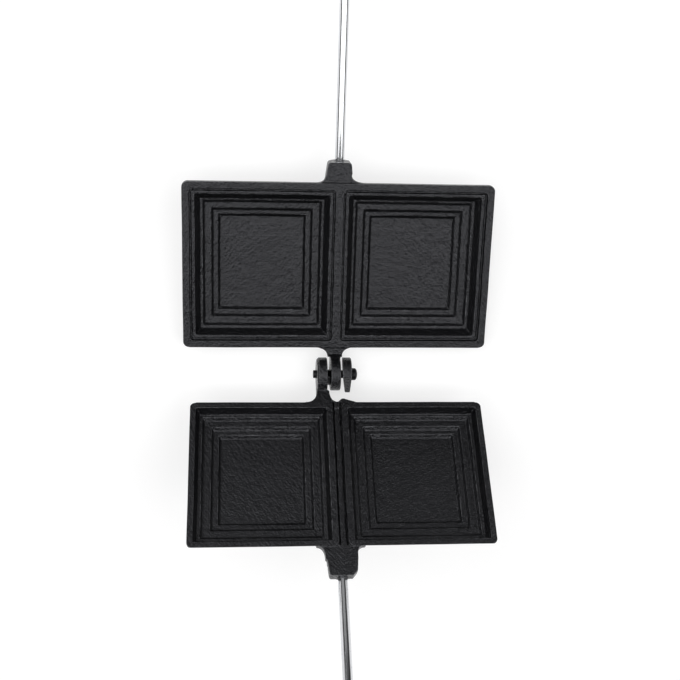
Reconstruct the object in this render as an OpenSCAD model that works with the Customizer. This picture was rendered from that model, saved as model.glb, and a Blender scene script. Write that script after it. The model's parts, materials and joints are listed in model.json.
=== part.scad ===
// Double pie iron: two cast halves with two terraced moulds each, hinged on a headed pin, with a steel
// rod and a wooden handle on each half. It stands opened in a shallow V, as it is put down.
// X runs along the hinge pin, +Y towards the frame half's handle and +Z up.
// The origin is on the ground, under the middle of the whole object.

/* [Head] */
// Width of the frame half, across both moulds
head_w = 210; // [200:1:220]
// Length of the frame half, from its hinge side to its rod side
head_l = 114.5; // [110:0.5:118]
// Distance from the hinge pin's axis to the frame half's near edge
edge_to_pin = 18.8; // [18.5:0.1:20]
// Width of the raised frame round the frame half
frame_w = 4.8; // [4.4:0.1:5.4]
// Height of the raised frame above the land inside it
frame_h = 1.5; // [1.2:0.1:1.8]
// Width of the raised bar between the frame half's two moulds
bar_w = 5.5; // [5:0.1:6]
// Width of the land between the frame and a mould's mouth
land_w = 3.5; // [3.2:0.1:4]
// Width of the rim round each mould of the rim half
rim_w = 4; // [3.4:0.1:4.2]
// Play between the rims and the frame that they nest in
nest_play = 0.4; // [0.3:0.05:0.6]
// Radius of the outer corners
corner_r = 4; // [3:0.5:6]

/* [Moulds] */
// Run of the main wall of the frame half's moulds, seen from above
frame_wall_run = 3.7; // [3.4:0.1:4]
// Run of the main wall of the rim half's moulds, which is steeper
rim_wall_run = 2.4; // [2:0.1:2.8]
// Drop of the main wall
wall_drop = 6.2; // [5.8:0.1:6.6]
// Run of each small step
step_run = 1.7; // [1.4:0.1:1.9]
// Drop of each small step
step_drop = 2.4; // [2.2:0.1:2.6]
// Width of the first ledge, inside the main wall
ledge_1 = 1.4; // [1.2:0.05:1.8]
// Width of the second ledge
ledge_2 = 4.05; // [3.8:0.05:4.4]
// Width of the third ledge, round the floor
ledge_3 = 2.8; // [2.5:0.05:3.1]
// What each ledge of the rim half is wider by
rim_ledge_more = 0.45; // [0.3:0.05:0.5]
// Thickness of the cast wall
metal = 3.4; // [3.2:0.1:3.8]

/* [Hinge] */
// Radius of the outer lugs, on which the iron stands
lug_r = 11.7; // [11.5:0.1:12]
// Diameter of the hinge pin
pin_d = 5.6; // [5:0.1:5.8]
// Radial play of the pin in the middle lug
pin_play = 0.08; // [0.05:0.01:0.1]
// How far short of flat the iron stops opening, in degrees
fold = 49.4; // [46:0.2:52]

/* [Rods and handles] */
// Diameter of the rods
rod_d = 6.35; // [6:0.05:6.5]
// Distance from the hinge pin's axis to a handle's end
reach = 698; // [600:1:760]
// Length of a handle
handle_l = 127; // [115:1:140]
// Diameter of a handle at its swell
handle_d = 17.1; // [16:0.1:17.2]
// Distance from the hinge pin's axis to the end of a rod's socket
socket_end = 146.8; // [145:0.1:149]
// Depth of the frame half's rod below the hinge pin, square to the half
frame_rod_drop = 13.7; // [13.5:0.1:14]
// Depth of the rim half's rod below the hinge pin, square to the half
rim_rod_drop = 3.6; // [3.5:0.1:4]
// Where the rim half's rod sits along X, a little to one side of the middle
rim_rod_x = -1.3; // [-2:0.1:0]

/* [Hidden] */
$fn = 96;
iron = "#2b2b2d";
dark_iron = "#232325";
steel = "#c9ccd0";
wood = "#b98b56";

// Each half is drawn flat, with its hinge axis along X at the origin, Y outward and its mouths upward.
// X is the same in both, because the rim half is set in place by a mirror.
land_z = -3.5;
frame_z = land_z + frame_h;
// The closed halves keep this gap between the rims and the land
close_gap = 0.3;
rim_z = -land_z - close_gap;
// What stands outside the rim half's rims stays this far above the closed frame
clear_gap = 0.4;
rim_neck_z = -frame_z - clear_gap;
frame_neck_z = frame_z - 1.3;
flange_t = 3.2;
web_t = 3.2;
channel_h = 2.2;
shelf_t = 5;
// Grooves at the foot of the raised frame and of the channel's sides, as [width, depth]
frame_groove = [1.5, 1.3];
channel_groove = [1.4, 2];
// Holes are cut this far past the faces they open in, and shallow cuts this far
spare = 20;
over = 1;

// Near and far edges of the frame half, and of the rims that nest inside its frame
frame_near = edge_to_pin;
frame_far = edge_to_pin + head_l;
rim_near = frame_near + frame_w + nest_play;
rim_far = frame_far - frame_w - nest_play;
rim_side = head_w / 2 - frame_w - nest_play;
channel_side = bar_w / 2 + nest_play;

// Insets from a mould's mouth, and depths below it, of the inside and of the outside of its wall
mould_h = wall_drop + 3 * step_drop;
function ledge_ends(run, more) = [
  run + ledge_1 + more,
  run + ledge_1 + step_run + ledge_2 + 2 * more,
  run + ledge_1 + 2 * step_run + ledge_2 + ledge_3 + 3 * more
];
function inside(run, ends) = [
  [0, 0],
  [run, wall_drop],
  [ends[0], wall_drop],
  [ends[0] + step_run, wall_drop + step_drop],
  [ends[1], wall_drop + step_drop],
  [ends[1] + step_run, wall_drop + 2 * step_drop],
  [ends[2], wall_drop + 2 * step_drop],
  [ends[2] + step_run, mould_h]
];
function outside(ends) = [
  [-rim_w, 0],
  [ends[0] + step_run - metal, wall_drop + step_drop + metal],
  [ends[1] - metal, wall_drop + step_drop + metal],
  [ends[1] + step_run - metal, wall_drop + 2 * step_drop + metal],
  [ends[2] - metal, wall_drop + 2 * step_drop + metal],
  [ends[2] + step_run - metal, mould_h + metal]
];
frame_ends = ledge_ends(frame_wall_run, 0);
rim_ends = ledge_ends(rim_wall_run, rim_ledge_more);

// Mouths as [low x, high x, low y, high y] of the mould on the +X side
frame_mouth = [bar_w / 2 + land_w, head_w / 2 - frame_w - land_w,
               frame_near + frame_w + land_w, frame_far - frame_w - land_w];
rim_mouth = [channel_side + rim_w, rim_side - rim_w, rim_near + rim_w, rim_far - rim_w];

// Where the two outer lugs and the middle one lie along the pin, and the chamfers on their edges
ear_x = [-13, -5.9];
ear_chamfer = [1.4, 0.4];
middle_x = [-3.4, 3.45];
middle_chamfer = [0.4, 0.4];
loose_x = [4.1, 11];
loose_chamfer = [0.8, 0.6];
middle_r = lug_r - 0.3;

// Necks run under their halves. Outside the lugs' reach they are wider, and they flare where they meet the
// edge: by these runs along it and rises from it, on each side.
neck_bottom = -9.5;
frame_neck_run = 8;
rim_neck_run = 4;
frame_neck_x = [-5.5, 4.9];
frame_neck_start = lug_r + 0.5;
frame_neck_flare = [[13.5, 6.5], [11.3, 6.5]];
rim_neck_x = [-13.2, -4.6];
rim_neck_flare = [[8, 10], [6, 9]];
// The rims hide the first of what stands out from the rim half's edges, because it lies lower
rim_hides = 1.2;

// Stop dogs between the left lug and the middle one: the rim half's starts at this angle from +Y
dog_start = 95;
dog_angle = 95;
dog_gap = 3;
dog_r = [4.5, 7.6];
dog_h = 2.2;

// The loose ear ends where its neck has parted, from the top of the break to the bottom as [y, z]. Its face
// towards the middle lug leans, from the top to the bottom as [x, z].
ear_break = [[7.6, 8.8], [9.2, -10.3]];
ear_lean = [[4.1, lug_r], [7.3, -10.3]];
// The stub on the rim half where that neck has parted, as [x, distance from the half's edge]
stub = [[1, 3], [1, -1.3], [2.3, -2.6], [3.6, -3.6], [5, -4], [6.8, -3.2], [10.5, -2.1], [13.2, -1.2],
        [13.2, 3]];

// Hinge pin
pin_head_d = 8.5;
pin_head_x = 11.5;
pin_head_h = 4.1;
pin_head_rim = 2.2;
pin_tail_x = -15.3;

// Sockets for the rods. Their sides stand straight down to the shoulder, then draw in to the foot.
boss_back = 122;
frame_bore_start = 127;
rim_bore_start = 128;
socket_w = 20.6;
frame_socket_r = 6.6;
frame_socket_shoulder = -10.7;
frame_socket_foot = [5.7, -17];
rim_socket_r = 4.9;
rim_socket_shoulder = -4.6;
rim_socket_foot = [7.6, -6.3];
// Plans of the two sockets: where they start along X, and their outlines out from there round the end
frame_socket_x = [-10.2, 7.5];
frame_socket_plan = [
  [frame_socket_x[0], boss_back], [-10.1, 135], [-8.4, socket_end - 1], [-7.4, socket_end],
  [6.4, socket_end], [7.4, socket_end - 1], [8, 140], [7.5, 137], [frame_socket_x[1], boss_back]
];
rim_socket_x = [-12, 9];
rim_socket_plan = [
  [rim_socket_x[0], boss_back], [-12, 128], [-11, 137], [-9.9, socket_end - 1], [-9.1, socket_end],
  [5.3, socket_end], [8.2, socket_end - 3.2], [8.9, 135], [rim_socket_x[1], boss_back]
];
frame_socket_flare = [[6, 4], [10.5, 6]];
rim_socket_flare = [[5.5, 9], [5.2, 5]];

// Cross pins, which lie just under the faces that they are driven into
rod_pin_d = 3;
rod_pin_y = socket_end - 7;
frame_rod_pin_x = [-7.4, 7.2];
rim_rod_pin_x = [-10, 7.8];
handle_pin_d = 2.5;
handle_pin_sink = 0.3;
handle_front = reach - handle_l;
handle_pin_y = handle_front + 20;
rod_end = handle_front + 92;

// The frame half lies on its moulds' lowest edges nearest the hinge, and on the outer lugs
foot_y = frame_mouth[2] + frame_ends[2] + step_run - metal;
foot_z = land_z - mould_h - metal;
frame_tilt = atan(-foot_z / foot_y) - asin(lug_r / norm([foot_y, foot_z]));
rim_tilt = fold - frame_tilt;

// Outline of a handle as [radius, distance from the hinge pin], turned round the rod's axis
neck_d = 13.4;
handle_round = 4;
swell_at = 0.62;
butt_d = 15.6;
function swell(t) = t < swell_at
  ? neck_d / 2 + (handle_d - neck_d) / 2 * sin(90 * t / swell_at)
  : butt_d / 2 + (handle_d - butt_d) / 2 * cos(90 * (t - swell_at) / (1 - swell_at));
front_round = 2;
handle_outline = concat(
  [for (a = [0:30:90]) [neck_d / 2 - front_round * (1 - sin(a)), handle_front + front_round * (1 - cos(a))]],
  [for (i = [1:14]) [swell(i / 15), handle_front + front_round
                     + (handle_l - front_round - handle_round) * i / 15]],
  [for (a = [0:15:90]) [butt_d / 2 - handle_round * (1 - cos(a)), reach - handle_round * (1 - sin(a))]]
);

// Furthest that a tilted half's handle reaches along Y, which sets the origin midway
function handle_reach(tilt, drop) =
  max([for (p = handle_outline) p[1] * cos(tilt) + (drop + p[0]) * sin(tilt)]);
middle_y = (handle_reach(frame_tilt, frame_rod_drop) - handle_reach(rim_tilt, rim_rod_drop)) / 2;
pin_at = [0, -middle_y, lug_r];
echo(frame_tilt = frame_tilt, rim_tilt = rim_tilt, pin_at = pin_at, turn = 180 - fold);
echo(frame_mouth = frame_mouth, rim_mouth = rim_mouth, foot = [foot_y, foot_z]);

module place_frame_half() {
  translate(pin_at) rotate([frame_tilt, 0, 0]) children();
}

module place_rim_half() {
  translate(pin_at) mirror([0, 1, 0]) rotate([rim_tilt, 0, 0]) children();
}

// Side view of a terraced block from a to b, with its mouth at height 0 and its sides carried up by top
function terraces(a, b, steps, top) = concat(
  [[a + steps[0][0], top]],
  [for (s = steps) [a + s[0], -s[1]]],
  [for (i = [len(steps) - 1:-1:0]) [b - steps[i][0], -steps[i][1]]],
  [[b - steps[0][0], top]]
);

// A terraced block under a mouth, with mitred corners
module terraced(mouth, steps, top) {
  intersection() {
    translate([0, mouth[3] + spare, 0])
      rotate([90, 0, 0])
        linear_extrude(mouth[3] - mouth[2] + 2 * spare)
          polygon(terraces(mouth[0], mouth[1], steps, top));
    translate([mouth[0] - spare, 0, 0])
      rotate([90, 0, 90])
        linear_extrude(mouth[1] - mouth[0] + 2 * spare)
          polygon(terraces(mouth[2], mouth[3], steps, top));
  }
}

// The same block on each side of the middle line
module both_sides() {
  children();
  mirror([1, 0, 0]) children();
}

// A plate from low to high corner in plan, with round corners, from z0 to z1
module round_plate(x0, x1, y0, y1, r, z0, z1) {
  translate([0, 0, z0]) linear_extrude(z1 - z0) {
    translate([x0 + r, y0]) square([x1 - x0 - 2 * r, y1 - y0]);
    translate([x0, y0 + r]) square([x1 - x0, y1 - y0 - 2 * r]);
    for (x = [x0 + r, x1 - r], y = [y0 + r, y1 - r]) translate([x, y]) circle(r);
  }
}

// The foot of a neck or socket from x[0] to x[1], where it widens smoothly to the edge it joins. Each side's
// size is its run along the edge and its rise from it. It stands outward where dir is 1 and inward where it
// is -1, and it goes on under the edge.
module flare(x, size, edge, dir, z0, z1) {
  under = 5;
  steps = [0:0.125:1];
  translate([0, edge, z0]) mirror([0, dir < 0 ? 1 : 0, 0]) linear_extrude(z1 - z0) polygon(concat(
    [[x[0] - size[0][0], -under]],
    [for (t = steps) [x[0] - size[0][0] * pow(1 - t, 2), size[0][1] * pow(t, 2)]],
    [for (t = steps) [x[1] + size[1][0] * pow(t, 2), size[1][1] * pow(1 - t, 2)]],
    [[x[1] + size[1][0], -under]]
  ));
}

// A hinge lug: a disc about the pin with chamfered edges
module lug(x, r, chamfer) {
  rotate([90, 0, 90]) rotate_extrude() polygon([
    [0, x[0]], [r - chamfer[0], x[0]], [r, x[0] + chamfer[0]],
    [r, x[1] - chamfer[1]], [r - chamfer[1], x[1]], [0, x[1]]
  ]);
}

// A neck from start out to its end under its half, with a ramp from its flat top up to the lug
module neck(x, start, top, end) {
  ramp = [2.6, 4.8];
  foot = 13.7;
  deeper = 3;
  ramp_y = max(start, foot - ramp[0]);
  ramp_z = top + ramp[1] * (foot - ramp_y) / ramp[0];
  back = start < ramp_y ? [[start, ramp_z]] : [];
  translate([x[0], 0, 0]) rotate([90, 0, 90]) linear_extrude(x[1] - x[0]) polygon(concat(
    [[start, neck_bottom], [end, neck_bottom - deeper], [end, top], [foot, top], [ramp_y, ramp_z]], back
  ));
}

// A sector of a ring about the pin, which meets its fellow on the next lug when the iron is open
module stop_dog(x0, start) {
  far = 2 * dog_r[1];
  rotate([90, 0, 90]) translate([0, 0, x0]) linear_extrude(dog_h) intersection() {
    difference() {
      circle(dog_r[1]);
      circle(dog_r[0]);
    }
    polygon([[0, 0], for (a = [0, dog_angle / 2, dog_angle]) far * [cos(start + a), sin(start + a)]]);
  }
}

// A pin along X from x[0] to x[1], at distance y and height z
module cross_cylinder(d, x, y, z) {
  translate([x[0], y, z]) rotate([0, 90, 0]) cylinder(h = x[1] - x[0], d = d);
}

// A hole along X right through a half
module cross_hole(d, y, z) {
  cross_cylinder(d, [-spare, spare], y, z);
}

// A hole or rod along Y
module long_cylinder(d, x, y0, y1, z) {
  translate([x, y0, z]) rotate([-90, 0, 0]) cylinder(h = y1 - y0, d = d);
}

// A socket of the given plan: flat on top, drawing in to its foot, and round under the rod
module socket(plan, x, top, drop, r, shoulder, foot) {
  draft = 0.3;
  side = socket_w / 2;
  intersection() {
    translate([x, socket_end, 0]) rotate([90, 0, 0]) linear_extrude(socket_end - boss_back) {
      polygon([[-side, top], [draft - side, shoulder], [-foot[0], foot[1]],
               [foot[0], foot[1]], [side - draft, shoulder], [side, top]]);
      translate([0, -drop]) circle(r);
    }
    translate([0, 0, -spare]) linear_extrude(2 * spare) polygon(plan);
  }
}

module frame_half() {
  pocket_r = corner_r - 1.5;
  pocket = [bar_w / 2, head_w / 2 - frame_w, frame_near + frame_w, frame_far - frame_w];
  inset = frame_groove[0];
  color(iron) place_frame_half() difference() {
    union() {
      round_plate(-head_w / 2, head_w / 2, frame_near, frame_far, corner_r, land_z - flange_t, frame_z);
      translate([0, 0, land_z]) both_sides() terraced(frame_mouth, outside(frame_ends), 0);
      lug(middle_x, middle_r, middle_chamfer);
      neck(middle_x, 0, frame_neck_z, frame_near + frame_neck_run);
      neck(frame_neck_x, frame_neck_start, frame_neck_z, frame_near + frame_neck_run);
      flare(frame_neck_x, frame_neck_flare, frame_near, -1, land_z - flange_t, frame_neck_z);
      stop_dog(middle_x[0] - dog_h, dog_start + dog_angle + dog_gap - frame_tilt);
      socket(frame_socket_plan, 0, frame_neck_z, frame_rod_drop, frame_socket_r, frame_socket_shoulder,
             frame_socket_foot);
      flare(frame_socket_x, frame_socket_flare, frame_far, 1, land_z - flange_t, frame_neck_z);
    }
    both_sides() difference() {
      round_plate(pocket[0], pocket[1], pocket[2], pocket[3], pocket_r, land_z - frame_groove[1],
                  frame_z + over);
      round_plate(pocket[0] + inset, pocket[1] - inset, pocket[2] + inset, pocket[3] - inset,
                  pocket_r - inset, land_z - spare, land_z);
    }
    translate([0, 0, land_z]) both_sides() terraced(frame_mouth, inside(frame_wall_run, frame_ends), over);
    cross_hole(pin_d + 2 * pin_play, 0, 0);
    long_cylinder(rod_d, 0, frame_bore_start, socket_end + over, -frame_rod_drop);
    cross_hole(rod_pin_d, rod_pin_y, -frame_rod_drop);
  }
}

module rim_half() {
  shelf_z = rim_neck_z - shelf_t;
  web_z = rim_z - channel_h;
  web_w = 2 * (rim_mouth[0] + over);
  color(dark_iron) place_rim_half() difference() {
    union() {
      intersection() {
        translate([0, 0, rim_z]) both_sides() terraced(rim_mouth, outside(rim_ends), 0);
        both_sides()
          round_plate(channel_side, rim_side, rim_near, rim_far, corner_r, rim_z - 2 * spare, rim_z);
      }
      translate([-web_w / 2, rim_near, web_z - web_t]) cube([web_w, rim_far - rim_near, web_t]);
      lug(ear_x, lug_r, ear_chamfer);
      neck(ear_x, 0, rim_neck_z, rim_near + rim_neck_run);
      flare(rim_neck_x, rim_neck_flare, rim_near - rim_hides, -1, shelf_z, rim_neck_z);
      stop_dog(ear_x[1], 180 - dog_start - dog_angle - rim_tilt);
      translate([0, rim_near, shelf_z]) linear_extrude(shelf_t) polygon(stub);
      socket(rim_socket_plan, rim_rod_x, rim_neck_z, rim_rod_drop, rim_socket_r, rim_socket_shoulder,
             rim_socket_foot);
      flare(rim_socket_x, rim_socket_flare, rim_far - rim_hides, 1, shelf_z, rim_neck_z);
    }
    translate([0, 0, rim_z]) both_sides() terraced(rim_mouth, inside(rim_wall_run, rim_ends), over);
    both_sides()
      translate([channel_side - channel_groove[0], rim_near - rim_hides, web_z - channel_groove[1]])
      cube([channel_groove[0], rim_far - rim_near, spare]);
    cross_hole(pin_d, 0, 0);
    long_cylinder(rod_d, rim_rod_x, rim_bore_start, socket_end + over, -rim_rod_drop);
    cross_hole(rod_pin_d, rod_pin_y, -rim_rod_drop);
  }
}

// The pin's round head is on the loose ear's side, and its plain tail stands out of the other lug
module hinge_pin() {
  chamfer = 0.5;
  head_r = pin_head_d / 2;
  color(steel) translate(pin_at) rotate([90, 0, 90]) rotate_extrude() polygon(concat(
    [[0, pin_tail_x], [pin_d / 2 - chamfer, pin_tail_x], [pin_d / 2, pin_tail_x + chamfer],
     [pin_d / 2, pin_head_x], [head_r, pin_head_x], [head_r, pin_head_x + pin_head_rim]],
    [for (a = [15:15:90]) [head_r * cos(a), pin_head_x + pin_head_rim + (pin_head_h - pin_head_rim) * sin(a)]]
  ));
}

// A lug on the pin alone, with what is left of its neck
module loose_hinge_ear() {
  top = ear_break[0];
  low = ear_break[1];
  color(dark_iron) place_rim_half() difference() {
    intersection() {
      union() {
        lug(loose_x, lug_r, loose_chamfer);
        translate([loose_x[0], 0, 0]) rotate([90, 0, 90]) linear_extrude(loose_x[1] - loose_x[0])
          polygon([[0, neck_bottom], low, top, [0, top[1]]]);
      }
      translate([loose_x[0] - over, 0, 0]) rotate([90, 0, 90])
        linear_extrude(loose_x[1] - loose_x[0] + 2 * over)
        polygon([[-spare, -spare], [low[0], -spare], low, top, [top[0], spare], [-spare, spare]]);
      translate([0, spare, 0]) rotate([90, 0, 0]) linear_extrude(2 * spare)
        polygon([[ear_lean[0][0], spare], ear_lean[0], ear_lean[1], [ear_lean[1][0], -spare],
                 [loose_x[1] + over, -spare], [loose_x[1] + over, spare]]);
    }
    cross_hole(pin_d, 0, 0);
  }
}

module rod(x, start, drop) {
  color(steel) difference() {
    long_cylinder(rod_d, x, start, rod_end, -drop);
    cross_hole(rod_pin_d, rod_pin_y, -drop);
    cross_hole(handle_pin_d, handle_pin_y, -drop);
  }
}

module handle(x, drop) {
  color(wood) difference() {
    translate([x, 0, -drop]) rotate([-90, 0, 0]) rotate_extrude()
      polygon(concat([[0, handle_front]], handle_outline, [[0, reach]]));
    long_cylinder(rod_d, x, handle_front - over, rod_end, -drop);
    cross_hole(handle_pin_d, handle_pin_y, -drop);
  }
}

module rod_pin(x, drop) {
  color(steel) cross_cylinder(rod_pin_d, x, rod_pin_y, -drop);
}

module handle_pin(x, drop) {
  half_l = swell((handle_pin_y - handle_front) / handle_l) - handle_pin_sink;
  color(steel) cross_cylinder(handle_pin_d, [x - half_l, x + half_l], handle_pin_y, -drop);
}

frame_half();
rim_half();
hinge_pin();
loose_hinge_ear();
place_frame_half() rod(0, frame_bore_start, frame_rod_drop);  // frame_half_rod
place_rim_half() rod(rim_rod_x, rim_bore_start, rim_rod_drop);  // rim_half_rod
place_frame_half() rod_pin(frame_rod_pin_x, frame_rod_drop);  // frame_half_rod_pin
place_rim_half() rod_pin(rim_rod_pin_x, rim_rod_drop);  // rim_half_rod_pin
place_frame_half() handle(0, frame_rod_drop);  // frame_half_handle
place_rim_half() handle(rim_rod_x, rim_rod_drop);  // rim_half_handle
place_frame_half() handle_pin(0, frame_rod_drop);  // frame_half_handle_pin
place_rim_half() handle_pin(rim_rod_x, rim_rod_drop);  // rim_half_handle_pin
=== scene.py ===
import json
import math

import bmesh
import bpy
from bpy.props import FloatProperty, FloatVectorProperty, IntProperty, PointerProperty
from mathutils import Matrix, Vector, noise


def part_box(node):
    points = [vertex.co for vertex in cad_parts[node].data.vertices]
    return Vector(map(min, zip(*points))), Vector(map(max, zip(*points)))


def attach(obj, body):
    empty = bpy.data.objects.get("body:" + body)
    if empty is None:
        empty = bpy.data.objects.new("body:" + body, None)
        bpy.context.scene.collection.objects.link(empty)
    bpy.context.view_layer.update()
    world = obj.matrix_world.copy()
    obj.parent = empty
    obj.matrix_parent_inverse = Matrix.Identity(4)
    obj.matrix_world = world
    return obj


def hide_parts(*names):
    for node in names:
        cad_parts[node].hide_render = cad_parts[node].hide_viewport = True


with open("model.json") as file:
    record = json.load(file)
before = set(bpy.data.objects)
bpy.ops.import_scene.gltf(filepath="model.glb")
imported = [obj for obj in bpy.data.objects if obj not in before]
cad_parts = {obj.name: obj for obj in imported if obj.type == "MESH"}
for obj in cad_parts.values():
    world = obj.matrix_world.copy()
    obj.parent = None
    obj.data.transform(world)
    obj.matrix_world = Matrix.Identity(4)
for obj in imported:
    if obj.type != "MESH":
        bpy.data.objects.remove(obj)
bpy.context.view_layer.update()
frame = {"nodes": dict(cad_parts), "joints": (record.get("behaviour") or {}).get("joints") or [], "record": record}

bl_info = {
    "name": "Double pie iron",
    "version": (1, 0, 0),
    "blender": (4, 5, 0),
    "location": "3D View > Sidebar > Pie iron",
    "description": "Finishes a hinged cast iron pie iron: castings, pins, rods, handles and a pale stage",
    "category": "Add Mesh",
}

MM = 0.001
HINGE = next(joint for joint in frame["joints"] if joint["name"] == "hinge")
PIN_AT = Vector(HINGE["pos_m"])
# Mesh attribute that marks the edges that stand out, and the bends, in 1 / m, between which it rises to 1
EDGES = "edges"
SOFT_BEND = 200.0
SHARP_BEND = 600.0


# Places of the two halves

def flat_half(mount_name):
    """Matrix from a half drawn flat: X along the pin, Y out to its handle and Z up out of its moulds."""
    mount = next(m for m in frame["record"]["mounts"] if m["name"] == mount_name)
    up = -Vector(mount["axis"])
    out = up.cross(Vector((1, 0, 0)))
    if out.dot(Vector(mount["pos_m"]) - PIN_AT) < 0:
        out.negate()
    turn = Matrix(((1, out.x, up.x), (0, out.y, up.y), (0, out.z, up.z)))
    return Matrix.Translation(PIN_AT) @ turn.to_4x4()


HALVES = {
    "frame": flat_half("frame_half_rest_face"),
    "rim": flat_half("rim_half_rest_face"),
}
BODIES = {"frame": "frame_side", "rim": "rim_side"}


def flat_box(node, half):
    """Lowest and highest corner of a CAD node, measured in its half's flat frame."""
    to_flat = HALVES[half].inverted()
    points = [to_flat @ v.co for v in frame["nodes"][node].data.vertices]
    low = Vector([min(p[i] for p in points) for i in range(3)])
    high = Vector([max(p[i] for p in points) for i in range(3)])
    return low, high


def half_turn(half):
    """Turn about X that lays a pattern drawn along Y in line with a half's rod."""
    out = HALVES[half].col[1].xyz
    return math.atan2(out.z, out.y) if out.y > 0 else math.atan2(-out.z, -out.y)


# What a user would change

class PieIronCastings(bpy.types.PropertyGroup):
    mesh_size: FloatProperty(
        name="Mesh size", description="Side of the small cubes that a casting's shape is worked out in",
        default=0.4 * MM, min=0.3 * MM, max=2.0 * MM, unit="LENGTH")
    rounding: IntProperty(
        name="Rounding", description="How far the sand rounds a casting's edges, in passes",
        default=2, min=0, max=20)
    wave_height: FloatProperty(
        name="Wave height", description="How far a casting's surfaces wander from true",
        default=0.16 * MM, min=0.0, max=0.5 * MM, unit="LENGTH")
    wave_length: FloatProperty(
        name="Wave length", description="Distance from one wave to the next",
        default=26 * MM, min=5 * MM, max=80 * MM, unit="LENGTH")
    wave_seed: IntProperty(
        name="Wave seed", description="Picks one pattern of waves, the same at every run",
        default=7, min=1, max=1000)
    iron_dark: FloatVectorProperty(
        name="Dark iron", description="Seasoned iron where the coat lies thick", subtype="COLOR",
        size=3, default=(0.0012, 0.0012, 0.0016), min=0, max=1)
    iron_light: FloatVectorProperty(
        name="Light iron", description="Seasoned iron where the coat is thin", subtype="COLOR",
        size=3, default=(0.0040, 0.0040, 0.0048), min=0, max=1)
    # Colour of convex edges: partly rubbed iron, partly a painted highlight for the light that rounded edges catch
    iron_wear_and_highlight: FloatVectorProperty(
        name="Worn iron and painted highlight", description="Iron on rubbed edges, lightened further as a painted highlight", subtype="COLOR",
        size=3, default=(0.14, 0.142, 0.15), min=0, max=1)
    grain_size: FloatProperty(
        name="Grain size", description="Size of the sand grain in the cast skin",
        default=0.9 * MM, min=0.2 * MM, max=4 * MM, unit="LENGTH")
    grain_height: FloatProperty(
        name="Grain height", description="Height of the sand grain in the cast skin",
        default=1.2 * MM, min=0.0, max=4.0 * MM, unit="LENGTH")


class PieIronMetal(bpy.types.PropertyGroup):
    turned_steps: IntProperty(
        name="Turned steps", description="Faces round a rod, pin or handle", default=64, min=16, max=128)
    plating: FloatVectorProperty(
        name="Plating", description="Bright plating on the rods", subtype="COLOR",
        size=3, default=(0.72, 0.73, 0.75), min=0, max=1)
    tarnish: FloatVectorProperty(
        name="Tarnish", description="Dulled plating", subtype="COLOR",
        size=3, default=(0.34, 0.34, 0.36), min=0, max=1)
    pin_steel: FloatVectorProperty(
        name="Pin steel", description="Darkened steel of the pins", subtype="COLOR",
        size=3, default=(0.008, 0.008, 0.009), min=0, max=1)
    pin_wear: FloatVectorProperty(
        name="Pin wear", description="Pin steel where the dark coat is rubbed off", subtype="COLOR",
        size=3, default=(0.05, 0.05, 0.053), min=0, max=1)


class PieIronHandles(bpy.types.PropertyGroup):
    wood_light: FloatVectorProperty(
        name="Light wood", description="Early wood between the rings", subtype="COLOR",
        size=3, default=(0.50, 0.29, 0.13), min=0, max=1)
    wood_dark: FloatVectorProperty(
        name="Dark wood", description="Late wood in the rings", subtype="COLOR",
        size=3, default=(0.29, 0.145, 0.055), min=0, max=1)
    ring_width: FloatProperty(
        name="Ring width", description="Distance between growth rings",
        default=2.6 * MM, min=0.5 * MM, max=8 * MM, unit="LENGTH")


class PieIronStage(bpy.types.PropertyGroup):
    floor_color: FloatVectorProperty(
        name="Floor", description="Colour of the floor", subtype="COLOR",
        size=3, default=(0.4, 0.4, 0.4), min=0, max=1)
    floor_glow: FloatProperty(
        name="Floor glow", description="How much of the floor's paleness doesn't depend on light",
        default=0.66, min=0, max=1)
    floor_radius: FloatProperty(
        name="Floor radius", description="Radius of the round floor",
        default=18.0, min=2, max=50, unit="LENGTH")
    floor_rise: FloatProperty(
        name="Floor rise", description="Height of the curved rim round the floor",
        default=1.8, min=0, max=10, unit="LENGTH")
    lens: FloatProperty(
        name="Lens", description="Focal length on a 36 mm sensor", default=59.29, min=10, max=200)
    camera_place: FloatVectorProperty(
        name="Camera place", description="Where the camera stands", subtype="TRANSLATION",
        size=3, default=(-0.06936, 0.03759, 0.78404), unit="LENGTH")
    camera_turn: FloatVectorProperty(
        name="Camera turn", description="Turn from looking straight down, about X, then Y, then Z",
        subtype="EULER", size=3,
        default=(math.radians(-5.834), math.radians(-5.346), math.radians(0.173)))
    world_light: FloatProperty(
        name="Room light", description="Strength of the room's light", default=0.05, min=0, max=2)
    panel_light: FloatProperty(
        name="Panel light", description="Brightness of the soft panels beside the object",
        default=1.75, min=0, max=20)
    panel_high: FloatVectorProperty(
        name="Panel's high edge", description="How far to the side and how high a panel's upper edge is",
        size=2, default=(0.28, 2.0), unit="LENGTH")
    panel_low: FloatVectorProperty(
        name="Panel's low edge", description="How far to the side and how high a panel's lower edge is",
        size=2, default=(1.9, 1.1), unit="LENGTH")
    front_light: FloatProperty(
        name="Front light", description="Brightness of the soft panel over the rim half's handle",
        default=2.2, min=0, max=20)
    back_light: FloatProperty(
        name="Back light", description="Brightness of the soft panel over the frame half's handle",
        default=0.5, min=0, max=20)
    far_light: FloatProperty(
        name="Far light", description="Brightness of the upright panel beyond the frame half's handle",
        default=0.32, min=0, max=20)


# Building materials

# Cast skin: the patterns' fineness as features to a grain, and their shares of its height
STREAK_FINENESS = 0.75
STREAK_SHARE = 0.55
GRIT_FINENESS = 0.8
GRIT_SHARE = 0.45
DENT_FINENESS = 0.15
DENT_SHARE = 0.3
PIT_FINENESS = 0.22
PIT_SHARE = 0.4
# How far a pit reaches, against the distance from one pit to the next
PIT_REACH = 0.13
# Slant of the streaks from a rod's line, and how much longer they are along it and down a wall
STREAK_SLANT = math.radians(32)
STREAK_STRETCH = (1.0, 3.4, 1.6)
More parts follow.
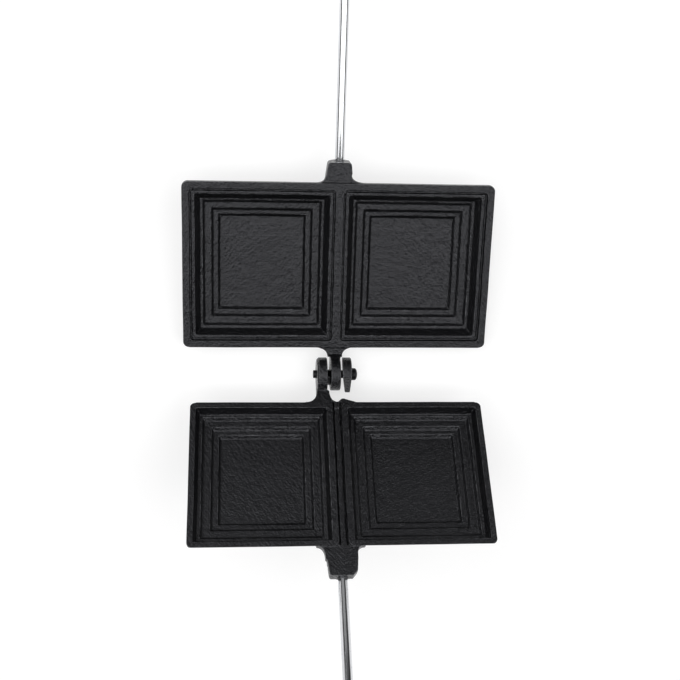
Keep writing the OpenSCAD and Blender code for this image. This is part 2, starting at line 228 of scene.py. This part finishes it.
# Features to a metre of a casting's blotches, a rod's specks and dull clouds, and a handle's cloud
BLOTCH_FINENESS = 38.0
SPECK_FINENESS = 900.0
PLATING_CLOUD_FINENESS = 110.0
WOOD_CLOUD_FINENESS = 28.0
# Squeeze along Y that draws scratches, dull clouds, wandering rings and pores out lengthwise
SCRATCH_SQUEEZE = (1.0, 0.02, 1.0)
CLOUD_SQUEEZE = (1.0, 0.25, 1.0)
RING_SQUEEZE = (1.0, 0.12, 1.0)
PORE_SQUEEZE = (1.0, 0.03, 1.0)
# Mark from which an edge is lightened, and how much of the worn colour a casting's edge takes: partly rubbed coat,
# partly a painted highlight
EDGE_MARK_FROM = 0.3
WEAR_AND_HIGHLIGHT_SHARE = 0.7
# Fineness of the breaks in the wear and painted highlight on castings and in the wear on pins, in features to a
# metre
IRON_BREAK_UP = 900.0
PIN_BREAK_UP = 900.0
# Fineness of the scratches on rods and on pins, in features to a metre, and their heights
ROD_SCRATCHES = 3200.0
ROD_SCRATCH_HEIGHT = 0.01 * MM
PIN_SCRATCHES = 2400.0
PIN_SCRATCH_HEIGHT = 0.02 * MM
# The tree's pith lies beside and below a handle's axis, and its rings wander
PITH_ASIDE = 31 * MM
PITH_BELOW = 46 * MM
RING_WANDER = 6 * MM
RING_WANDER_FINENESS = 60.0
PORE_FINENESS = 2600.0
GRAIN_RELIEF = 0.04 * MM


class Graph:
    """Adds nodes to a node tree and links them, one call a node."""

    def __init__(self, tree):
        self.tree = tree

    def node(self, kind, inputs=(), **settings):
        made = self.tree.nodes.new(kind)
        for name, value in settings.items():
            setattr(made, name, value)
        for name, value in dict(inputs).items():
            self.put(made.inputs[name], value)
        return made

    def put(self, socket, value):
        if isinstance(value, bpy.types.NodeSocket):
            self.tree.links.new(value, socket)
        elif socket.type == "RGBA":
            socket.default_value = (*value[:3], 1.0)
        else:
            socket.default_value = value

    def math(self, operation, a, b=0.0, clamp=False):
        return self.node("ShaderNodeMath", {0: a, 1: b}, operation=operation, use_clamp=clamp).outputs[0]

    def mix(self, factor, a, b, blend="MIX"):
        made = self.node("ShaderNodeMix", data_type="RGBA", blend_type=blend)
        self.put(made.inputs[0], factor)
        self.put(made.inputs[6], a)
        self.put(made.inputs[7], b)
        return made.outputs[2]

    def remap(self, value, low, high, to_low=0.0, to_high=1.0):
        made = self.node("ShaderNodeMapRange", {0: value, 1: low, 2: high, 3: to_low, 4: to_high})
        return made.outputs[0]

    def noise(self, vector, scale, detail=2.0, roughness=0.5):
        made = self.node("ShaderNodeTexNoise", {
            "Vector": vector, "Scale": scale, "Detail": detail, "Roughness": roughness})
        return made.outputs[0]

    def squeezed(self, vector, scale):
        return self.node("ShaderNodeMapping", {"Vector": vector, "Scale": scale}).outputs[0]


def effect_group(name, inputs, outputs):
    """A shader node group with named inputs and outputs, and its graph and ends."""
    tree = bpy.data.node_groups.new(name, "ShaderNodeTree")
    for label, kind, value in inputs:
        socket = tree.interface.new_socket(label, in_out="INPUT", socket_type="NodeSocket" + kind)
        if value is not None:
            socket.default_value = value
    for label, kind in outputs:
        tree.interface.new_socket(label, in_out="OUTPUT", socket_type="NodeSocket" + kind)
    graph = Graph(tree)
    return tree, graph, graph.node("NodeGroupInput").outputs, graph.node("NodeGroupOutput").inputs


def cast_skin_group():
    """Height and tone of a sand-cast skin: streaked grain, fine grit, pits and broad blotches."""
    tree, graph, given, result = effect_group(
        "cast_skin",
        (("Vector", "Vector", None), ("Grain size", "Float", 0.001)),
        (("Height", "Float"), ("Tone", "Float"), ("Blotches", "Float")),
    )
    per_metre = graph.math("DIVIDE", 1.0, given["Grain size"])
    folded = graph.node("ShaderNodeVectorMath", {0: given["Vector"]}, operation="ABSOLUTE").outputs[0]
    streaked = graph.node("ShaderNodeMapping", {
        "Vector": folded, "Rotation": (0.0, 0.0, STREAK_SLANT), "Scale": STREAK_STRETCH,
    }, vector_type="TEXTURE").outputs[0]
    streaks = graph.noise(streaked, graph.math("MULTIPLY", per_metre, STREAK_FINENESS), 1.5, 0.5)
    grit = graph.noise(given["Vector"], graph.math("MULTIPLY", per_metre, GRIT_FINENESS), 2.0, 0.6)
    dents = graph.noise(given["Vector"], graph.math("MULTIPLY", per_metre, DENT_FINENESS), 2.0, 0.5)
    pits = graph.node("ShaderNodeTexVoronoi", {
        "Vector": given["Vector"], "Scale": graph.math("MULTIPLY", per_metre, PIT_FINENESS),
    }).outputs["Distance"]
    pit_mask = graph.remap(pits, 0.0, PIT_REACH, 1.0, 0.0)
    streak_height = graph.math("MULTIPLY", streaks, STREAK_SHARE)
    grit_height = graph.math("MULTIPLY", grit, GRIT_SHARE)
    fine = graph.math("ADD", streak_height, grit_height)
    skin = graph.math("ADD", fine, graph.math("MULTIPLY", dents, DENT_SHARE))
    pit_depth = graph.math("MULTIPLY", pit_mask, PIT_SHARE)
    blotches = graph.noise(given["Vector"], BLOTCH_FINENESS, 4.0, 0.6)
    graph.put(result["Height"], graph.math("SUBTRACT", skin, pit_depth))
    graph.put(result["Tone"], fine)
    graph.put(result["Blotches"], graph.remap(blotches, 0.35, 0.65))
    return tree


def edge_wear_and_highlight_group():
    """Mask of the edges that stand out, as marked on the mesh, broken up by noise: wear on pins, and wear with a
    painted highlight on castings.
    """
    tree, graph, given, result = effect_group(
        "edge_wear_and_highlight",
        (("Vector", "Vector", None), ("Break up", "Float", 700.0)),
        (("Mask", "Float"),),
    )
    marked = graph.node("ShaderNodeAttribute", attribute_name=EDGES).outputs["Fac"]
    edges = graph.remap(marked, EDGE_MARK_FROM, 1.0)
    rubbed = graph.remap(graph.noise(given["Vector"], given["Break up"], 3.0, 0.6), 0.38, 0.62, 0.3, 1.0)
    graph.put(result["Mask"], graph.math("MULTIPLY", edges, rubbed, clamp=True))
    return tree


def drawn_metal_group():
    """Scratches along Y and small specks, as drawn or turned bar has them."""
    tree, graph, given, result = effect_group(
        "drawn_metal",
        (("Vector", "Vector", None), ("Fineness", "Float", 3000.0)),
        (("Scratches", "Float"), ("Specks", "Float"), ("Cloud", "Float")),
    )
    scratched = graph.squeezed(given["Vector"], SCRATCH_SQUEEZE)
    clouded = graph.squeezed(given["Vector"], CLOUD_SQUEEZE)
    specks = graph.noise(given["Vector"], SPECK_FINENESS, 2.0, 0.5)
    cloud = graph.noise(clouded, PLATING_CLOUD_FINENESS, 3.0, 0.6)
    graph.put(result["Scratches"], graph.noise(scratched, given["Fineness"], 2.0, 0.6))
    graph.put(result["Specks"], graph.remap(specks, 0.64, 0.70))
    graph.put(result["Cloud"], graph.remap(cloud, 0.4, 0.7))
    return tree


GROUPS = {}


def effect(graph, maker, inputs):
    """Places an effect group, made the first time it is asked for, and gives its outputs."""
    if maker.__name__ not in GROUPS:
        GROUPS[maker.__name__] = maker()
    placed = graph.node("ShaderNodeGroup", node_tree=GROUPS[maker.__name__])
    for name, value in inputs.items():
        graph.put(placed.inputs[name], value)
    return placed.outputs


def new_material(name, half=None):
    """An empty material with its shader, and its coordinates in line with a half where one is named."""
    material = bpy.data.materials.new(name)
    material.use_nodes = True
    material.node_tree.nodes.clear()
    graph = Graph(material.node_tree)
    shader = graph.node("ShaderNodeBsdfPrincipled")
    graph.node("ShaderNodeOutputMaterial", {"Surface": shader.outputs[0]})
    place = graph.node("ShaderNodeTexCoord").outputs["Object"]
    if half:
        place = graph.node("ShaderNodeMapping", {
            "Vector": place, "Location": tuple(PIN_AT), "Rotation": (half_turn(half), 0.0, 0.0),
        }, vector_type="TEXTURE").outputs[0]
    return material, graph, shader.inputs, place


def bump(graph, height, distance, strength=1.0):
    return graph.node("ShaderNodeBump", {
        "Height": height, "Distance": distance, "Strength": strength}).outputs[0]


def iron_material(name, half):
    """Sand-cast iron under a burnt-on coat of oil: near black, satin, lighter on its edges, partly where it is
    rubbed and partly as a painted highlight.
    """
    look = bpy.context.scene.pie_iron_castings
    material, graph, shader, place = new_material(name, half)
    skin = effect(graph, cast_skin_group, {"Vector": place, "Grain size": look.grain_size})
    edge_marks = effect(graph, edge_wear_and_highlight_group, {"Vector": place, "Break up": IRON_BREAK_UP})
    tone = graph.remap(skin["Tone"], 0.38, 0.62)
    coat = graph.mix(graph.math("MULTIPLY", tone, 0.8), look.iron_dark, look.iron_light)
    coat = graph.mix(graph.math("MULTIPLY", skin["Blotches"], 0.35), coat, look.iron_dark)
    # Convex edges take the worn colour: partly real wear, partly a painted highlight along the edges
    rubbed = graph.math("MULTIPLY", edge_marks["Mask"], WEAR_AND_HIGHLIGHT_SHARE)
    graph.put(shader["Base Color"], graph.mix(rubbed, coat, look.iron_wear_and_highlight))
    rough = graph.remap(skin["Blotches"], 0.0, 1.0, 0.22, 0.27)
    smoothed = graph.math("MULTIPLY", edge_marks["Mask"], 0.06)
    graph.put(shader["Roughness"], graph.math("SUBTRACT", rough, smoothed))
    graph.put(shader["Specular IOR Level"], 0.5)
    graph.put(shader["Specular Tint"], (0.93, 0.94, 1.0))
    graph.put(shader["Normal"], bump(graph, skin["Height"], look.grain_height))
    return material


def plated_material(name, half):
    """Bright plated rod: mirror-like, with drawn scratches, specks and a dull cloud here and there."""
    look = bpy.context.scene.pie_iron_metal
    material, graph, shader, place = new_material(name, half)
    marks = effect(graph, drawn_metal_group, {"Vector": place, "Fineness": ROD_SCRATCHES})
    dull = graph.math("MAXIMUM", graph.math("MULTIPLY", marks["Cloud"], 0.35), marks["Specks"])
    dulled = graph.math("MULTIPLY", dull, 0.8)
    graph.put(shader["Base Color"], graph.mix(dulled, look.plating, look.tarnish))
    graph.put(shader["Metallic"], 1.0)
    graph.put(shader["Roughness"], graph.remap(marks["Scratches"], 0.3, 0.7, 0.07, 0.17))
    graph.put(shader["Normal"], bump(graph, marks["Scratches"], ROD_SCRATCH_HEIGHT))
    return material


def pin_material(name):
    """Darkened steel of the pins, rubbed bright here and there."""
    look = bpy.context.scene.pie_iron_metal
    material, graph, shader, place = new_material(name)
    marks = effect(graph, drawn_metal_group, {"Vector": place, "Fineness": PIN_SCRATCHES})
    edge_marks = effect(graph, edge_wear_and_highlight_group, {"Vector": place, "Break up": PIN_BREAK_UP})
    rubbed = graph.math("MAXIMUM", graph.math("MULTIPLY", marks["Cloud"], 0.25), edge_marks["Mask"])
    graph.put(shader["Base Color"], graph.mix(rubbed, look.pin_steel, look.pin_wear))
    graph.put(shader["Metallic"], 0.85)
    graph.put(shader["Roughness"], graph.remap(marks["Scratches"], 0.3, 0.7, 0.32, 0.48))
    graph.put(shader["Normal"], bump(graph, marks["Scratches"], PIN_SCRATCH_HEIGHT))
    return material


def wood_material(name, half):
    """Turned hardwood with a thin varnish: rings about a pith beside the handle, and pores along it."""
    look = bpy.context.scene.pie_iron_handles
    material, graph, shader, place = new_material(name, half)
    wander = graph.noise(graph.squeezed(place, RING_SQUEEZE), RING_WANDER_FINENESS, 3.0, 0.55)
    apart = graph.node("ShaderNodeSeparateXYZ", {0: place}).outputs
    aside = graph.math("ADD", apart["X"], PITH_ASIDE)
    below = graph.math("ADD", apart["Z"], PITH_BELOW)
    aside_squared = graph.math("MULTIPLY", aside, aside)
    below_squared = graph.math("MULTIPLY", below, below)
    radius = graph.math("SQRT", graph.math("ADD", aside_squared, below_squared))
    radius = graph.math("ADD", radius, graph.math("MULTIPLY", wander, RING_WANDER))
    ring = graph.math("FRACT", graph.math("DIVIDE", radius, look.ring_width))
    late = graph.math("POWER", ring, 2.4)
    pores = graph.noise(graph.squeezed(place, PORE_SQUEEZE), PORE_FINENESS, 2.0, 0.5)
    pore_mask = graph.remap(pores, 0.57, 0.66)
    cloud = graph.noise(place, WOOD_CLOUD_FINENESS, 2.0, 0.5)
    base = graph.mix(graph.math("MULTIPLY", late, 0.75), look.wood_light, look.wood_dark)
    base = graph.mix(graph.math("MULTIPLY", pore_mask, 0.55), base, look.wood_dark)
    base = graph.mix(graph.remap(cloud, 0.4, 0.7, 0.0, 0.3), base, look.wood_dark)
    graph.put(shader["Base Color"], base)
    graph.put(shader["Roughness"], graph.remap(pores, 0.3, 0.7, 0.36, 0.50))
    graph.put(shader["Coat Weight"], 0.35)
    graph.put(shader["Coat Roughness"], 0.16)
    height = graph.math("SUBTRACT", graph.math("MULTIPLY", late, 0.25), pore_mask)
    graph.put(shader["Normal"], bump(graph, height, GRAIN_RELIEF))
    return material


# Building pieces

# Points of a CAD copy closer than this are joined, and faces closer to one plane than this made one
JOIN_WITHIN = 0.002 * MM
PLANE_WITHIN = math.radians(0.6)
# Points of a turned piece closer than this are joined, as where its profile meets its axis
AXIS_WITHIN = 0.001 * MM
# Shares of its faces that a finished casting and the small ear keep
CASTING_FACES = 0.18
EAR_FACES = 0.5
# How far one rounding pass moves a point towards its neighbours' middle
ROUNDING_PULL = 0.5


def new_object(name, mesh_builder, body, nodes, material):
    """Makes an object of a bmesh, hangs it on the body it rides on, and hides the CAD nodes it takes the place of.
    """
    mesh = bpy.data.meshes.new(name)
    mesh_builder.to_mesh(mesh)
    mesh_builder.free()
    mesh.shade_smooth()
    mark_edges(mesh, SOFT_BEND, SHARP_BEND)
    mesh.materials.append(material)
    made = bpy.data.objects.new(name, mesh)
    bpy.context.scene.collection.objects.link(made)
    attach(made, body)
    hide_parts(*nodes)
    return made


def mark_edges(mesh, soft, sharp):
    """Marks each vertex by how strongly the surface bends outward there, from 0 at soft to 1 at sharp."""
    bends = [0.0] * len(mesh.vertices)
    counts = [0] * len(mesh.vertices)
    for edge in mesh.edges:
        first, second = edge.vertices
        for here, there in ((first, second), (second, first)):
            step = mesh.vertices[here].co - mesh.vertices[there].co
            bends[here] += 2 * mesh.vertices[here].normal.dot(step) / max(step.length_squared, 1e-12)
            counts[here] += 1
    marks = mesh.attributes.new(EDGES, "FLOAT", "POINT")
    for mark, bend, count in zip(marks.data, bends, counts):
        mark.value = min(1.0, max(0.0, (bend / max(count, 1) - soft) / (sharp - soft)))


def merged_copy(node):
    """A bmesh copy of a CAD node, with its triangles joined and its flat faces made whole."""
    copy = bmesh.new()
    copy.from_mesh(frame["nodes"][node].data)
    bmesh.ops.remove_doubles(copy, verts=copy.verts, dist=JOIN_WITHIN)
    bmesh.ops.dissolve_limit(copy, angle_limit=PLANE_WITHIN, verts=copy.verts, edges=copy.edges)
    return copy


def modified(mesh, modifiers):
    """The mesh that a chain of modifiers makes of this one, each given as its type and its settings."""
    holder = bpy.data.objects.new("holder", mesh)
    bpy.context.scene.collection.objects.link(holder)
    for kind, settings in modifiers:
        modifier = holder.modifiers.new(kind, kind)
        for name, value in settings.items():
            setattr(modifier, name, value)
    finished = bpy.data.meshes.new_from_object(holder.evaluated_get(bpy.context.evaluated_depsgraph_get()))
    bpy.data.objects.remove(holder)
    return finished


def casting(name, node, half, mesh_share):
    """A casting: the CAD shape with edges rounded as by sand, and faces that wander a little."""
    look = bpy.context.scene.pie_iron_castings
    flat = merged_copy(node)
    bmesh.ops.transform(flat, matrix=HALVES[half].inverted(), verts=flat.verts)
    bmesh.ops.recalc_face_normals(flat, faces=flat.faces)
    mesh = bpy.data.meshes.new(name)
    flat.to_mesh(mesh)
    flat.free()
    mesh = modified(mesh, (
        ("REMESH", {"mode": "VOXEL", "voxel_size": look.mesh_size}),
        ("SMOOTH", {"factor": ROUNDING_PULL, "iterations": look.rounding}),
    ))
    noise.seed_set(look.wave_seed)
    for vertex in mesh.vertices:
        vertex.co += look.wave_height * noise.noise_vector(vertex.co / look.wave_length)
    mesh = modified(mesh, (("DECIMATE", {"ratio": mesh_share}),))
    copy = bmesh.new()
    copy.from_mesh(mesh)
    bmesh.ops.transform(copy, matrix=HALVES[half], verts=copy.verts)
    bmesh.ops.recalc_face_normals(copy, faces=copy.faces)
    return new_object(name, copy, BODIES[half], [node], iron_material(name, half))


def turned(profile, steps):
    """A bmesh of a profile of (radius, distance) points spun round the Y axis."""
    lathe = bmesh.new()
    verts = [lathe.verts.new((radius, distance, 0.0)) for radius, distance in profile]
    for first, second in zip(verts, verts[1:]):
        lathe.edges.new((first, second))
    bmesh.ops.spin(lathe, geom=lathe.verts[:] + lathe.edges[:], cent=(0, 0, 0), axis=(0, 1, 0),
                   angle=math.tau, steps=steps, use_merge=True)
    bmesh.ops.remove_doubles(lathe, verts=lathe.verts, dist=AXIS_WITHIN)
    bmesh.ops.recalc_face_normals(lathe, faces=lathe.faces)
    return lathe


def rounded_end(radius, end, corner, steps, sign):
    """Profile points of a bar's rounded end, from its side to its middle."""
    points = []
    for i in range(steps + 1):
        angle = math.pi / 2 * i / steps
        inward = corner * (1 - math.cos(angle))
        points.append((radius - inward, end - sign * corner * (1 - math.sin(angle))))
    return points + [(0.0, end)]


def bar_profile(radius, start, end, corner):
    """Profile of a round bar from start to end with both ends rounded."""
    first = rounded_end(radius, start, corner, END_STEPS, -1)
    last = rounded_end(radius, end, corner, END_STEPS, 1)
    return first[::-1] + last


def put_in_half(lathe, half, x, z):
    """Moves a bmesh turned about Y to where its axis runs in a half."""
    place = HALVES[half] @ Matrix.Translation((x, 0.0, z))
    bmesh.ops.transform(lathe, matrix=place, verts=lathe.verts)
    bmesh.ops.recalc_face_normals(lathe, faces=lathe.faces)
    return lathe


class PIEIRON_OT_frame_half(bpy.types.Operator):
    """Casting with the raised frame, the middle hinge lug and the deeper rod socket"""
    bl_idname = "pieiron.frame_half"
    bl_label = "Frame half"

    def execute(self, context):
        casting("cast_frame_half", "frame_half", "frame", CASTING_FACES)
        return {"FINISHED"}


class PIEIRON_OT_rim_half(bpy.types.Operator):
    """Casting with a rim round each mould, the left hinge lug and the shallower rod socket"""
    bl_idname = "pieiron.rim_half"
    bl_label = "Rim half"

    def execute(self, context):
        casting("cast_rim_half", "rim_half", "rim", CASTING_FACES)
        return {"FINISHED"}


class PIEIRON_OT_loose_ear(bpy.types.Operator):
    """Hinge lug that is held by the pin alone"""
    bl_idname = "pieiron.loose_ear"
    bl_label = "Loose hinge ear"

    def execute(self, context):
        casting("cast_loose_ear", "loose_hinge_ear", "rim", EAR_FACES)
        return {"FINISHED"}


# The CAD pin's shank and head, and how far the edges of pins, rods and handles are broken
SHANK_D = 5.6 * MM
HEAD_H = 4.1 * MM
HEAD_RIM = 2.2 * MM
HEAD_BREAK = 0.3 * MM
TAIL_BREAK = 0.5 * MM
ROD_BREAK = 0.6 * MM
CROSS_PIN_BREAK = 0.3 * MM
HANDLE_BREAK = 0.25 * MM
# Edges of a handle that turn by more than this are broken
HANDLE_CORNER = math.radians(40)
# Faces in a rounded end, up the head's dome and round a cross pin
END_STEPS = 4
DOME_STEPS = 10
CROSS_PIN_STEPS = 32
# Turn that lays a piece turned about Y along the hinge pin
ALONG_PIN = Matrix.Rotation(-math.pi / 2, 4, "Z")


class PIEIRON_OT_hinge_pin(bpy.types.Operator):
    """Headed pin that the hinge turns on"""
    bl_idname = "pieiron.hinge_pin"
    bl_label = "Hinge pin"

    def execute(self, context):
        look = context.scene.pie_iron_metal
        low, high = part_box("hinge_pin")
        head_r = (high.z - low.z) / 2
        shank_r = SHANK_D / 2
        head_start = high.x - HEAD_H
        dome_start = head_start + HEAD_RIM
        tail = rounded_end(shank_r, low.x, TAIL_BREAK, END_STEPS, -1)[::-1]
        head = [(shank_r, head_start), (head_r - HEAD_BREAK, head_start), (head_r, head_start + HEAD_BREAK)]
        dome = [(head_r * math.cos(angle), dome_start + (high.x - dome_start) * math.sin(angle))
                for angle in (math.pi / 2 * i / DOME_STEPS for i in range(DOME_STEPS))]
        lathe = turned(tail + head + dome + [(0.0, high.x)], look.turned_steps)
        place = Matrix.Translation((0.0, PIN_AT.y, PIN_AT.z)) @ ALONG_PIN
        bmesh.ops.transform(lathe, matrix=place, verts=lathe.verts)
        bmesh.ops.recalc_face_normals(lathe, faces=lathe.faces)
        material = pin_material("steel_hinge_pin")
        new_object("steel_hinge_pin", lathe, BODIES["rim"], ["hinge_pin"], material)
        return {"FINISHED"}


class PIEIRON_OT_rods(bpy.types.Operator):
    """Bright plated rods from the sockets to the handles"""
    bl_idname = "pieiron.rods"
    bl_label = "Rods"

    def execute(self, context):
        steps = context.scene.pie_iron_metal.turned_steps
        for half in HALVES:
            node = half + "_half_rod"
            low, high = flat_box(node, half)
            radius = (high.x - low.x) / 2
            lathe = turned(bar_profile(radius, low.y, high.y, ROD_BREAK), steps)
            put_in_half(lathe, half, (low.x + high.x) / 2, (low.z + high.z) / 2)
            name = "plated_" + half + "_rod"
            new_object(name, lathe, BODIES[half], [node], plated_material(name, half))
        return {"FINISHED"}


class PIEIRON_OT_cross_pins(bpy.types.Operator):
    """Pins driven through each socket and each handle"""
    bl_idname = "pieiron.cross_pins"
    bl_label = "Cross pins"

    def execute(self, context):
        for half in HALVES:
            for part in ("rod_pin", "handle_pin"):
                node = half + "_half_" + part
                low, high = flat_box(node, half)
                radius = (high.y - low.y) / 2
                lathe = turned(bar_profile(radius, low.x, high.x, CROSS_PIN_BREAK), CROSS_PIN_STEPS)
                bmesh.ops.transform(lathe, matrix=ALONG_PIN, verts=lathe.verts)
                middle = Matrix.Translation((0.0, (low.y + high.y) / 2, 0.0))
                bmesh.ops.transform(lathe, matrix=middle, verts=lathe.verts)
                put_in_half(lathe, half, 0.0, (low.z + high.z) / 2)
                name = "steel_" + half + "_" + part
                new_object(name, lathe, BODIES[half], [node], pin_material(name))
        return {"FINISHED"}


class PIEIRON_OT_handles(bpy.types.Operator):
    """Turned wooden handles on the rods' outer ends"""
    bl_idname = "pieiron.handles"
    bl_label = "Handles"

    def execute(self, context):
        for half in HALVES:
            node = half + "_half_handle"
            name = "wooden_" + half + "_handle"
            copy = merged_copy(node)
            made = new_object(name, copy, BODIES[half], [node], wood_material(name, half))
            rounding = made.modifiers.new("broken edges", "BEVEL")
            rounding.width = HANDLE_BREAK
            rounding.segments = 2
            rounding.limit_method = "ANGLE"
            rounding.angle_limit = HANDLE_CORNER
            made.modifiers.new("even shading", "WEIGHTED_NORMAL")
        return {"FINISHED"}


# Panels of light, in metres: how far the side ones reach along Y, the others' middles and sizes, and the
# turns in degrees of one that faces down and one that faces the camera's end of the room
LEFT_REACH = (-0.9, 1.9)
RIGHT_REACH = (-0.9, 0.9)
FRONT_AT = (0.59, -0.62, 2.0)
FRONT_SIZE = (1.02, 0.64)
BACK_AT = (0.0, 0.7, 2.0)
BACK_SIZE = (0.6, 1.0)
FAR_AT = (-0.4, 3.0, 1.22)
FAR_SIZE = (3.2, 1.16)
FLAT = (0.0, 0.0)
UPRIGHT = (-90.0, 0.0)
# Steps up the floor's curved rim and round it, and how much lighter its cloudy patches are
RISE_STEPS = 8
FLOOR_STEPS = 96
PATCH_LIGHTER = 1.02
# Width in mm of the film that the lens's focal length is given for
SENSOR_WIDTH = 36.0


class PIEIRON_OT_stage(bpy.types.Operator):
    """Pale floor, soft boxes and the camera"""
    bl_idname = "pieiron.stage"
    bl_label = "Stage"

    def execute(self, context):
        scene = context.scene
        look = scene.pie_iron_stage
        self.make_floor(scene, look)
        self.make_lights(scene, look)
        self.make_camera(scene, look)
        scene.view_settings.view_transform = "Standard"
        return {"FINISHED"}

    def make_floor(self, scene, look):
        flat = look.floor_radius - look.floor_rise
        curve = [(flat + look.floor_rise * math.sin(angle), look.floor_rise * (1 - math.cos(angle)))
                 for angle in (math.pi / 2 * i / RISE_STEPS for i in range(1, RISE_STEPS + 1))]
        dish = turned([(0.0, 0.0), (flat, 0.0)] + curve, FLOOR_STEPS)
        bmesh.ops.transform(dish, matrix=Matrix.Rotation(math.pi / 2, 4, "X"), verts=dish.verts)
        for face in dish.faces:
            if face.normal.z < 0:
                face.normal_flip()
        mesh = bpy.data.meshes.new("floor")
        dish.to_mesh(mesh)
        dish.free()
        mesh.shade_smooth()
        material, graph, shader, place = new_material("floor")
        tone = graph.noise(place, 6.0, 2.0, 0.5)
        lighter = [min(1.0, c * PATCH_LIGHTER) for c in look.floor_color]
        graph.put(shader["Base Color"], graph.mix(tone, look.floor_color, lighter))
        graph.put(shader["Roughness"], 0.9)
        graph.put(shader["Specular IOR Level"], 0.1)
        path = graph.node("ShaderNodeLightPath").outputs
        seen = graph.math("MAXIMUM", path["Is Camera Ray"], path["Is Glossy Ray"])
        seen = graph.math("MAXIMUM", seen, path["Is Transmission Ray"])
        graph.put(shader["Emission Color"], (1.0, 1.0, 1.0))
        graph.put(shader["Emission Strength"], graph.math("MULTIPLY", seen, look.floor_glow))
        mesh.materials.append(material)
        floor = bpy.data.objects.new("floor", mesh)
        scene.collection.objects.link(floor)

    def make_lights(self, scene, look):
        world = bpy.data.worlds.new("room")
        world.use_nodes = True
        world.node_tree.nodes["Background"].inputs["Color"].default_value = (1.0, 1.0, 1.0, 1.0)
        world.node_tree.nodes["Background"].inputs["Strength"].default_value = look.world_light
        scene.world = world
        high_x, high_z = look.panel_high
        low_x, low_z = look.panel_low
        lean = math.degrees(math.atan2(high_z - low_z, low_x - high_x))
        width = math.hypot(low_x - high_x, high_z - low_z)
        for name, side, (near, far) in (("left_panel", -1, LEFT_REACH), ("right_panel", 1, RIGHT_REACH)):
            place = (side * (low_x + high_x) / 2, (near + far) / 2, (low_z + high_z) / 2)
            self.panel(scene, name, place, (0.0, side * lean), (width, far - near), look.panel_light)
        front_x, front_y, front_z = FRONT_AT
        for name, side in (("front_left_panel", -1), ("front_right_panel", 1)):
            self.panel(scene, name, (side * front_x, front_y, front_z), FLAT, FRONT_SIZE, look.front_light)
        self.panel(scene, "back_panel", BACK_AT, FLAT, BACK_SIZE, look.back_light)
        self.panel(scene, "far_panel", FAR_AT, UPRIGHT, FAR_SIZE, look.far_light)

    def panel(self, scene, name, place, turn, size, brightness):
        """A flat soft light facing down, turned about X and Y in degrees, equally bright at any size."""
        lamp = bpy.data.lights.new(name, "AREA")
        lamp.shape = "RECTANGLE"
        lamp.size, lamp.size_y = size
        lamp.energy = brightness * math.pi * lamp.size * lamp.size_y
        made = bpy.data.objects.new(name, lamp)
        made.location = place
        made.rotation_euler = (math.radians(turn[0]), math.radians(turn[1]), 0.0)
        scene.collection.objects.link(made)

    def make_camera(self, scene, look):
        camera = bpy.data.cameras.new("camera")
        camera.sensor_width = SENSOR_WIDTH
        camera.lens = look.lens
        camera.clip_start = 0.01
        camera.clip_end = 100.0
        made = bpy.data.objects.new("camera", camera)
        turn = Matrix.Identity(3)
        for axis, angle in zip("XYZ", look.camera_turn):
            turn = turn @ Matrix.Rotation(angle, 3, axis)
        made.matrix_world = Matrix.Translation(look.camera_place) @ turn.to_4x4()
        scene.collection.objects.link(made)
        scene.camera = made


class PIEIRON_PT_panel(bpy.types.Panel):
    """Sidebar list of the pieces' operators and of the values that a user would change"""
    bl_label = "Pie iron"
    bl_idname = "PIEIRON_PT_panel"
    bl_space_type = "VIEW_3D"
    bl_region_type = "UI"
    bl_category = "Pie iron"

    def draw(self, context):
        for operator in OPERATORS:
            self.layout.operator(operator.bl_idname)
        for name in PROPERTIES:
            box = self.layout.box()
            look = getattr(context.scene, name)
            for label in look.__annotations__:
                box.prop(look, label)


PROPERTIES = {
    "pie_iron_castings": PieIronCastings,
    "pie_iron_metal": PieIronMetal,
    "pie_iron_handles": PieIronHandles,
    "pie_iron_stage": PieIronStage,
}
OPERATORS = (
    PIEIRON_OT_frame_half,
    PIEIRON_OT_rim_half,
    PIEIRON_OT_loose_ear,
    PIEIRON_OT_hinge_pin,
    PIEIRON_OT_rods,
    PIEIRON_OT_cross_pins,
    PIEIRON_OT_handles,
    PIEIRON_OT_stage,
)


def register():
    for kind in (*PROPERTIES.values(), *OPERATORS, PIEIRON_PT_panel):
        bpy.utils.register_class(kind)
    for name, kind in PROPERTIES.items():
        setattr(bpy.types.Scene, name, PointerProperty(type=kind))


def unregister():
    for name in PROPERTIES:
        delattr(bpy.types.Scene, name)
    for kind in (PIEIRON_PT_panel, *OPERATORS[::-1], *PROPERTIES.values()):
        bpy.utils.unregister_class(kind)


def main():
    register()
    for operator in OPERATORS:
        group, name = operator.bl_idname.split(".")
        getattr(getattr(bpy.ops, group), name)()


if __name__ == "__main__":
    main()
